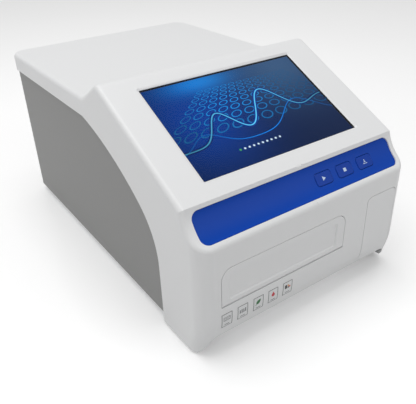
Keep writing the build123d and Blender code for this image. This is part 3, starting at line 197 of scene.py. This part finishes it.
# Touch screen: clear cover glass with a black border printed on its underside, over a lit picture. The
# picture is a plain one: a field of wells that runs away from the viewer, measured curves, a row of dots.
CREST = np.array([0.0, -0.0572, 0.2614])
SLOPE = atan2(0.0814, 0.1643)
ACROSS, UP_SLOPE = np.array([1.0, 0.0, 0.0]), np.array([0.0, cos(SLOPE), sin(SLOPE)])
OUT = np.array([0.0, -sin(SLOPE), cos(SLOPE)])
SCREEN_W, SCREEN_H = 0.216, 0.135
SCREEN_MIDDLE = 0.025 + SCREEN_H / 2
GLASS_UNDERSIDE = 0.0044
WELL_LIFT, DOT_LIFT, BORDER_LIFT = 0.00012, 0.0002, 0.00012
WELL_ROWS, WELL_COLUMNS, WELL_OUTSIDE, WELL_INSIDE = 8, 12, 0.40, 0.31
DOT_COUNT, DOT_PITCH, DOT_RADIUS, FIRST_DOT = 10, 0.0062, 0.0014, (-0.0465, -0.0455)


def on_screen(u, v, lift):
    """Screen coordinates, u across and v up the slope from the middle, lifted off the glass's underside."""
    depth = np.asarray(lift - GLASS_UNDERSIDE + 0.0001)
    u, v, depth = np.broadcast_arrays(u, v, depth)
    up = v[..., None] - SCREEN_MIDDLE
    return CREST + u[..., None] * ACROSS + up * UP_SLOPE + depth[..., None] * OUT


def grid_mesh(name, points, colours=None, closed=False):
    """A grid of points as quads; colours, one for each point, go into the attribute that the finish reads."""
    rows, columns = points.shape[:2]
    index = np.arange(rows * columns).reshape(rows, columns)
    if closed:
        index = np.hstack([index, index[:, :1]])
    quads = np.stack([index[:-1, :-1], index[:-1, 1:], index[1:, 1:], index[1:, :-1]], axis=-1)
    mesh = bpy.data.meshes.new(name)
    mesh.from_pydata(points.reshape(-1, 3).tolist(), [], quads.reshape(-1, 4).tolist())
    if colours is not None:
        layer = mesh.color_attributes.new("light", "FLOAT_COLOR", "POINT")
        shades = np.broadcast_to(colours, points.shape).reshape(-1, 3)
        layer.data.foreach_set("color", np.hstack([shades, np.ones((len(shades), 1))]).ravel())
    return mesh


def add_piece(meshes, name, body, finish):
    """Several meshes welded into one piece that rides on a body."""
    joined = bmesh.new()
    for mesh in meshes:
        joined.from_mesh(mesh)
    bmesh.ops.remove_doubles(joined, verts=joined.verts, dist=1e-7)
    whole = bpy.data.meshes.new(name)
    joined.to_mesh(whole)
    joined.free()
    for mesh in meshes:
        bpy.data.meshes.remove(mesh)
    whole.materials.append(finish)
    whole.polygons.foreach_set("use_smooth", np.ones(len(whole.polygons), bool))
    piece = bpy.data.objects.new(name, whole)
    bpy.context.scene.collection.objects.link(piece)
    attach(piece, body)
    return piece


screen_light = bpy.data.materials.new("screen_light")
screen_light.use_nodes = True
light_shader = screen_light.node_tree.nodes["Principled BSDF"]
light_colour = screen_light.node_tree.nodes.new("ShaderNodeAttribute")
light_colour.attribute_name = "light"
screen_light.node_tree.links.new(light_colour.outputs["Color"], light_shader.inputs["Emission Color"])
light_shader.inputs["Base Color"].default_value = (0.0, 0.0, 0.0, 1.0)
light_shader.inputs["Emission Strength"].default_value = 1.0
light_shader.inputs["Specular IOR Level"].default_value = 0.0

NAVY, TEAL, ROYAL, CYAN = linear(0, 30, 74), linear(60, 88, 108), linear(0, 52, 140), linear(20, 150, 236)
v_rows, u_columns = np.meshgrid(np.linspace(-0.5, 0.5, 61), np.linspace(-0.5, 0.5, 97), indexing="ij")


def glow(u, v, centre, size):
    """A soft elliptical light: the bell curve of the distance from its centre, measured in its own sizes."""
    along, beside = u - centre[0], v - centre[1]
    return np.asarray(np.exp(-(along / size[0]) ** 2 - (beside / size[1]) ** 2))[..., None]


backdrop = np.array(NAVY) * (0.8 + 0.5 * (v_rows[..., None] + 0.5))
backdrop = backdrop + np.array(ROYAL) * 0.8 * glow(u_columns, v_rows, (-0.3, 0.05), (0.28, 0.5))
backdrop = backdrop + np.array(TEAL) * 0.8 * glow(u_columns, v_rows, (0.38, 0.42), (0.32, 0.42))
backdrop = backdrop + np.array(CYAN) * 0.55 * glow(u_columns, v_rows, (-0.16, 0.46), (0.2, 0.12))
backdrop_mesh = grid_mesh("backdrop", on_screen(u_columns * SCREEN_W, v_rows * SCREEN_H, 0.0), backdrop)
add_piece([backdrop_mesh], "screen_backdrop", "casing", screen_light)


def plate_view(u, v):
    """The well field laid back: rows draw together towards a far line at the picture's upper edge."""
    nearness = 1.0 / (1.0 + 1.05 * (v + 0.5))
    return 0.02 + (u * 1.25 + 0.16 * (v + 0.5)) * nearness, -0.14 + 0.98 * (1.0 - nearness)


circle_angles = np.linspace(0.0, 2.0 * pi, 28, endpoint=False)
wells = []
for row in range(WELL_ROWS):
    for column in range(WELL_COLUMNS):
        u = (column + 0.5) / WELL_COLUMNS - 0.5
        v = (row + 0.5) / WELL_ROWS - 0.5
        circles = [(u + r * np.cos(circle_angles) / WELL_COLUMNS, v + r * np.sin(circle_angles) / WELL_ROWS)
                   for r in (WELL_OUTSIDE, WELL_INSIDE)]
        seen = [plate_view(*circle) for circle in circles]
        points = np.stack([on_screen(u * SCREEN_W, v * SCREEN_H, WELL_LIFT) for u, v in seen])
        near_light = glow(seen[0][0].mean(), seen[0][1].mean(), (-0.08, 0.2), (0.26, 0.3)).item()
        strength = 0.25 + 0.75 * near_light
        wells.append(grid_mesh("well", points, np.array(CYAN) * strength, closed=True))
add_piece(wells, "screen_wells", "casing", screen_light)


def spectrum(u, peaks):
    """A measured curve: the sum of bell-shaped peaks, each with a place, a height and a width."""
    return sum(height * np.exp(-((u - place) / width) ** 2) for place, height, width in peaks)


curve_u = np.linspace(-0.5, 0.5, 161)
MAIN_PEAKS = ((-0.2, 0.30, 0.10), (0.14, 0.42, 0.13), (0.5, 0.2, 0.2))
curves = []
for base, peaks, half_width, colour, lift in (
    (-0.22, MAIN_PEAKS, 0.018, ROYAL, 0.0002),
    (-0.22, MAIN_PEAKS, 0.0055, linear(90, 205, 255), 0.00028),
    (-0.26, ((-0.34, 0.16, 0.12), (0.3, 0.26, 0.16)), 0.004, linear(0, 130, 235), 0.00024),
):
    height = base + spectrum(curve_u, peaks)
    slope_v = np.gradient(height * SCREEN_H, curve_u * SCREEN_W)
    reach = half_width * np.sqrt(1.0 + slope_v**2)
    edges = np.stack([height - reach, height + reach])
    points = on_screen(curve_u * SCREEN_W, np.clip(edges, -0.5, 0.5) * SCREEN_H, lift)
    fade = (0.35 + 0.65 * np.cos(curve_u * pi) ** 2)[None, :, None]
    curves.append(grid_mesh("curve", points, np.array(colour) * fade))
add_piece(curves, "screen_curves", "casing", screen_light)

dots = []
for i in range(DOT_COUNT):
    rings = np.array([DOT_RADIUS, 0.0])[:, None]
    u = FIRST_DOT[0] + i * DOT_PITCH + rings * np.cos(circle_angles)
    v = FIRST_DOT[1] + rings * np.sin(circle_angles)
    colour = linear(70, 170, 90) if i == 0 else linear(205, 228, 245)
    dots.append(grid_mesh("dot", on_screen(u, v, DOT_LIFT), np.array(colour), closed=True))
add_piece(dots, "screen_dots", "casing", screen_light)

border_ink = surface_finish("black_border_ink", (0.006, 0.006, 0.008), depth=0.1, scale=300.0,
                            rough=(0.3, 0.36))
BORDER = 0.012
corner_u, corner_v = np.array([-1, 1, 1, -1]), np.array([-1, -1, 1, 1])
border_rings = np.stack([
    on_screen(corner_u * (SCREEN_W / 2 + grow), corner_v * (SCREEN_H / 2 + grow), BORDER_LIFT)
    for grow in (BORDER, 0.0)
])
add_piece([grid_mesh("border", border_rings, closed=True)], "screen_border", "casing", border_ink)

cover_glass = bpy.data.materials.new("cover_glass")
cover_glass.use_nodes = True
glass_shader = cover_glass.node_tree.nodes["Principled BSDF"]
glass_shader.inputs["Base Color"].default_value = (0.96, 0.98, 1.0, 1.0)
glass_shader.inputs["Roughness"].default_value = 0.03
glass_shader.inputs["Transmission Weight"].default_value = 1.0
glass_shader.inputs["IOR"].default_value = 1.3
smudge = cover_glass.node_tree.nodes.new("ShaderNodeTexNoise")
smudge.inputs["Scale"].default_value = 18.0
smudge_spread = cover_glass.node_tree.nodes.new("ShaderNodeMapRange")
smudge_spread.inputs["To Min"].default_value, smudge_spread.inputs["To Max"].default_value = 0.01, 0.06
glass_place = cover_glass.node_tree.nodes.new("ShaderNodeTexCoord")
cover_glass.node_tree.links.new(glass_place.outputs["Object"], smudge.inputs["Vector"])
cover_glass.node_tree.links.new(smudge.outputs["Fac"], smudge_spread.inputs["Value"])
cover_glass.node_tree.links.new(smudge_spread.outputs["Result"], glass_shader.inputs["Roughness"])
nodes["touch_glass"].data.materials.clear()
nodes["touch_glass"].data.materials.append(cover_glass)

# Key signs: pad-printed in pale ink on the caps. A triangle starts, a square stops, a tray with an arrow
# moves the plate.
BAND_ANGLE = atan2(0.035, 0.0295)
BAND_UP = np.array([0.0, cos(BAND_ANGLE), sin(BAND_ANGLE)])
BAND_OUT = np.array([0.0, -sin(BAND_ANGLE), cos(BAND_ANGLE)])
BAND_ORIGIN = np.array([0.0, -0.23219, 0.15908])
KEY_TOP, KEY_XS, KEY_MIDDLE_V, SIGN_LIFT = -0.0004, (0.0295, 0.0625, 0.0955), 0.0005, 0.00006
pale_ink = surface_finish("pale_blue_ink", linear(196, 214, 238), depth=0.03, scale=800.0, rough=(0.4, 0.5))


def key_sign(outlines, x, name, body):
    """Flat signs just over a key's cap: each outline is a ring of points, closed to its own middle."""
    meshes = []
    for outline in outlines:
        ring = np.array(outline) * 0.001
        centre = ring.mean(0)
        rows = np.stack([ring, np.broadcast_to(centre, ring.shape)])
        points = (BAND_ORIGIN + (x + rows[..., :1]) * ACROSS + (KEY_MIDDLE_V + rows[..., 1:]) * BAND_UP
                  + (KEY_TOP + SIGN_LIFT) * BAND_OUT)
        meshes.append(grid_mesh("sign", points, closed=True))
    add_piece(meshes, name, body, pale_ink)


key_sign([[(-2.2, -2.6), (2.6, 0.0), (-2.2, 2.6)]], KEY_XS[0], "start_sign", "start_key")
key_sign([[(-2.1, -2.1), (2.1, -2.1), (2.1, 2.1), (-2.1, 2.1)]], KEY_XS[1], "stop_sign", "stop_key")
key_sign([[(-3.4, -2.6), (3.4, -2.6), (3.4, -1.9), (-3.4, -1.9)], [(-1.8, -0.8), (1.8, -0.8), (0.0, 1.0)],
          [(-0.45, 0.9), (0.45, 0.9), (0.45, 2.6), (-0.45, 2.6)]], KEY_XS[2], "plate_sign", "plate_key")

# Five printed labels on the lower front, each a thin white film with a black outline and a small picture
# that says what can be read: a plate, tubes, a leaf, a drop, colour tests.
CARD_XS, CARD_MIDDLE_Z = (-0.1208, -0.0997, -0.0781, -0.057, -0.0357), 0.049
CARD_W, CARD_H, OUTLINE_WIDTH, PICTURE_RISE = 0.0138, 0.018, 0.0006, 1.2
FRONT_Y, KNEE_R, KNEE_TOP_Z = -0.251, 0.070, 0.0524
FILM_LIFT, INK_LIFT = 0.00006, 0.00013


def on_lower_front(x, z, lift):
    """The lower front's skin: upright above the knee, then a round of 70 mm that turns back below it."""
    drop = np.maximum(KNEE_TOP_Z - z, 0.0)
    y = FRONT_Y + KNEE_R - np.sqrt(KNEE_R**2 - drop**2)
    return np.stack(np.broadcast_arrays(x, y - lift, z), axis=-1)


def card_shape(ring, x, lift):
    """A ring of card coordinates in millimetres on the lower front, filled to its middle."""
    ring = np.array(ring) * 0.001
    spread = np.stack([ring, np.broadcast_to(ring.mean(0), ring.shape)])
    points = on_lower_front(x + spread[..., 0], CARD_MIDDLE_Z + spread[..., 1], lift)
    return grid_mesh("card", points, closed=True)


def card_bar(corners, x, lift):
    """An upright rectangle, in rows of at most a millimetre so that it follows the round of the front."""
    (x0, z0), (x1, z1) = np.array(corners[0]) * 0.001, np.array(corners[2]) * 0.001
    rows = np.linspace(z0, z1, int(np.ceil((z1 - z0) / 0.001)) + 1)[:, None]
    return grid_mesh("bar", on_lower_front(x + np.array([[x0, x1]]), CARD_MIDDLE_Z + rows, lift))


def card_outline(width, height, line, x, lift):
    """A thin rectangular outline: the outer edge's points, and the same points held inside the line."""
    w, h = width / 2, height / 2
    level, upright = np.linspace(-w, w, 9)[:-1], np.linspace(-h, h, 19)[:-1]
    outer = np.concatenate([np.stack([level, 0 * level - h], -1), np.stack([0 * upright + w, upright], -1),
                            np.stack([-level, 0 * level + h], -1), np.stack([0 * upright - w, -upright], -1)])
    inner = np.clip(outer, (line - w, line - h), (w - line, h - line))
    rings = np.stack([outer, inner])
    points = on_lower_front(x + rings[..., 0], CARD_MIDDLE_Z + rings[..., 1], lift)
    return grid_mesh("outline", points, closed=True)


def disc(x, z, radius, points):
    """A round spot."""
    angle = np.linspace(0.0, 2.0 * pi, points, endpoint=False)
    return list(zip(x + radius * np.cos(angle), z + radius * np.sin(angle)))


def bar(x0, x1, z0, z1):
    """A small rectangle."""
    return [(x0, z0), (x1, z0), (x1, z1), (x0, z1)]


film = surface_finish("white_label_film", linear(226, 227, 228), depth=0.01, scale=500.0, rough=(0.28, 0.34))
label_inks = {
    ink: surface_finish(f"{ink}_label_ink", linear(*colour), depth=depth, scale=500.0, rough=(0.35, 0.45))
    for ink, colour, depth in (("black", (26, 26, 30), 0.1), ("grey", (112, 114, 118), 0.05),
                               ("green", (38, 112, 60), 0.08), ("red", (196, 40, 52), 0.08),
                               ("amber", (226, 150, 36), 0.08))
}
leaf = [(-3.0, -2.0), (-3.0, 0.6), (-1.6, 2.6), (1.0, 3.6), (3.0, 3.8), (2.9, 1.6), (1.9, -0.8), (-0.2, -2.3)]
drop = [(0.0, 4.2), (-1.1, 2.2), (-2.2, 0.4), (-2.3, -0.9), (-1.4, -2.2), (0.0, -2.7), (1.4, -2.2),
        (2.3, -0.9), (2.2, 0.4), (1.1, 2.2)]
card_marks = [
    [("black", bar(-4.4, 4.4, 2.6, 3.0)), ("black", bar(-4.4, 4.4, -2.0, -1.6)),
     ("black", bar(-4.4, -4.0, -2.0, 3.0)), ("black", bar(4.0, 4.4, -2.0, 3.0))]
    + [("grey", disc(-2.7 + 1.8 * i, -0.6 + 1.9 * j, 0.55, 10)) for i in range(4) for j in range(2)],
    [("grey", bar(-4.2 + 2.4 * i, -2.9 + 2.4 * i, -1.8, 2.0 + 0.5 * (i % 2))) for i in range(4)]
    + [("black", bar(-4.6, 4.8, -2.4, -1.9))],
    [("green", leaf), ("green", bar(-4.2, -2.6, -2.9, -2.2))],
    [("red", drop)],
    [("black", bar(-4.0, -0.8, -1.8, 3.4)), ("amber", bar(0.0, 2.0, 0.9, 3.0)),
     ("red", bar(2.2, 4.2, -1.2, 0.9)), ("black", bar(0.0, 2.0, -1.8, 0.3))],
]
film_rings, ink_rings = [], {ink: [] for ink in label_inks}
for x, marks in zip(CARD_XS, card_marks):
    film_rings.append(card_bar(bar(-6.9, 6.9, -9.0, 9.0), x, FILM_LIFT))
    ink_rings["black"].append(card_outline(CARD_W, CARD_H, OUTLINE_WIDTH, x, INK_LIFT))
    for ink, ring in marks:
        raised = [(px, pz + PICTURE_RISE) for px, pz in ring]
        ink_rings[ink].append((card_bar if len(ring) == 4 else card_shape)(raised, x, INK_LIFT))
    ink_rings["grey"].append(card_bar(bar(-3.2, 3.2, -6.6, -5.7), x, INK_LIFT))
add_piece(film_rings, "label_films", "casing", film)
for ink, rings in ink_rings.items():
    add_piece(rings, f"label_{ink}_ink", "casing", label_inks[ink])

# Floor and backdrop: a plain pale surface that fades to white, with the soft shadow of the object on it.
FLOOR_SEEN, FLOOR_BOUNCE, FLOOR_LIFT = (0.94, 0.94, 0.94, 1.0), (0.62, 0.62, 0.62, 1.0), 0.2
floor_mesh = bpy.data.meshes.new("floor")
floor_mesh.from_pydata([(-6, -6, 0), (6, -6, 0), (6, 6, 0), (-6, 6, 0)], [], [(0, 1, 2, 3)])
floor = bpy.data.objects.new("floor", floor_mesh)
bpy.context.scene.collection.objects.link(floor)
floor_paper = bpy.data.materials.new("floor_paper")
floor_paper.use_nodes = True
floor_tree = floor_paper.node_tree
paper = floor_tree.nodes["Principled BSDF"]
paper.inputs["Roughness"].default_value = 0.16
paper.inputs["Emission Color"].default_value = (1.0, 1.0, 1.0, 1.0)
ray = floor_tree.nodes.new("ShaderNodeLightPath")
seen = floor_tree.nodes.new("ShaderNodeMath")
seen.operation, seen.use_clamp = "ADD", True
floor_colour = floor_tree.nodes.new("ShaderNodeMix")
floor_colour.data_type = "RGBA"
floor_colour.inputs["A"].default_value, floor_colour.inputs["B"].default_value = FLOOR_BOUNCE, FLOOR_SEEN
floor_lift = floor_tree.nodes.new("ShaderNodeMath")
floor_lift.operation = "MULTIPLY"
floor_lift.inputs[1].default_value = FLOOR_LIFT
floor_tree.links.new(ray.outputs["Is Camera Ray"], seen.inputs[0])
floor_tree.links.new(ray.outputs["Is Glossy Ray"], seen.inputs[1])
floor_tree.links.new(seen.outputs["Value"], floor_colour.inputs["Factor"])
floor_tree.links.new(floor_colour.outputs["Result"], paper.inputs["Base Color"])
floor_tree.links.new(seen.outputs["Value"], floor_lift.inputs[0])
floor_tree.links.new(floor_lift.outputs["Value"], paper.inputs["Emission Strength"])
floor_mesh.materials.append(floor_paper)

# Camera: the place and angle of the photograph.
camera_data = bpy.data.cameras.new("camera")
camera_data.lens, camera_data.sensor_width = 45.97, 36.0
camera = bpy.data.objects.new("camera", camera_data)
right, down = (0.81777, -0.57471, -0.03101), (-0.31717, -0.40504, -0.85752)
forward = (0.48027, 0.71109, -0.51351)
place = Matrix([[r, -d, -f] for r, d, f in zip(right, down, forward)]).to_4x4()
place.translation = (-0.36619, -0.58643, 0.44228)
camera.matrix_world = place
bpy.context.scene.collection.objects.link(camera)
bpy.context.scene.camera = camera

# Light: one broad soft box high on the left, a weaker one in front, and an even white surround.
def soft_box(name, where, turned, size, power):
    """A square area light."""
    data = bpy.data.lights.new(name, "AREA")
    data.size, data.energy = size, power
    lamp = bpy.data.objects.new(name, data)
    lamp.location, lamp.rotation_euler = where, [angle * pi / 180.0 for angle in turned]
    bpy.context.scene.collection.objects.link(lamp)


soft_box("top_box", (-0.3, 0.3, 2.0), (0.0, -8.0, 0.0), 1.6, 19.0)
soft_box("front_box", (0.9, -1.7, 1.2), (60.0, 0.0, 26.0), 1.4, 6.5)
soft_box("left_box", (-2.0, -0.3, 0.9), (75.0, 0.0, -82.0), 1.4, 5.5)
world = bpy.data.worlds.new("surround")
bpy.context.scene.world = world
world.use_nodes = True
surround = world.node_tree.nodes["Background"]
surround.inputs["Color"].default_value = (1.0, 1.0, 1.0, 1.0)
world_ray = world.node_tree.nodes.new("ShaderNodeLightPath")
world_level = world.node_tree.nodes.new("ShaderNodeMapRange")
world_level.inputs["To Min"].default_value, world_level.inputs["To Max"].default_value = 0.48, 1.0
world.node_tree.links.new(world_ray.outputs["Is Camera Ray"], world_level.inputs["Value"])
world.node_tree.links.new(world_level.outputs["Result"], surround.inputs["Strength"])
bpy.context.scene.view_settings.view_transform = "Standard"
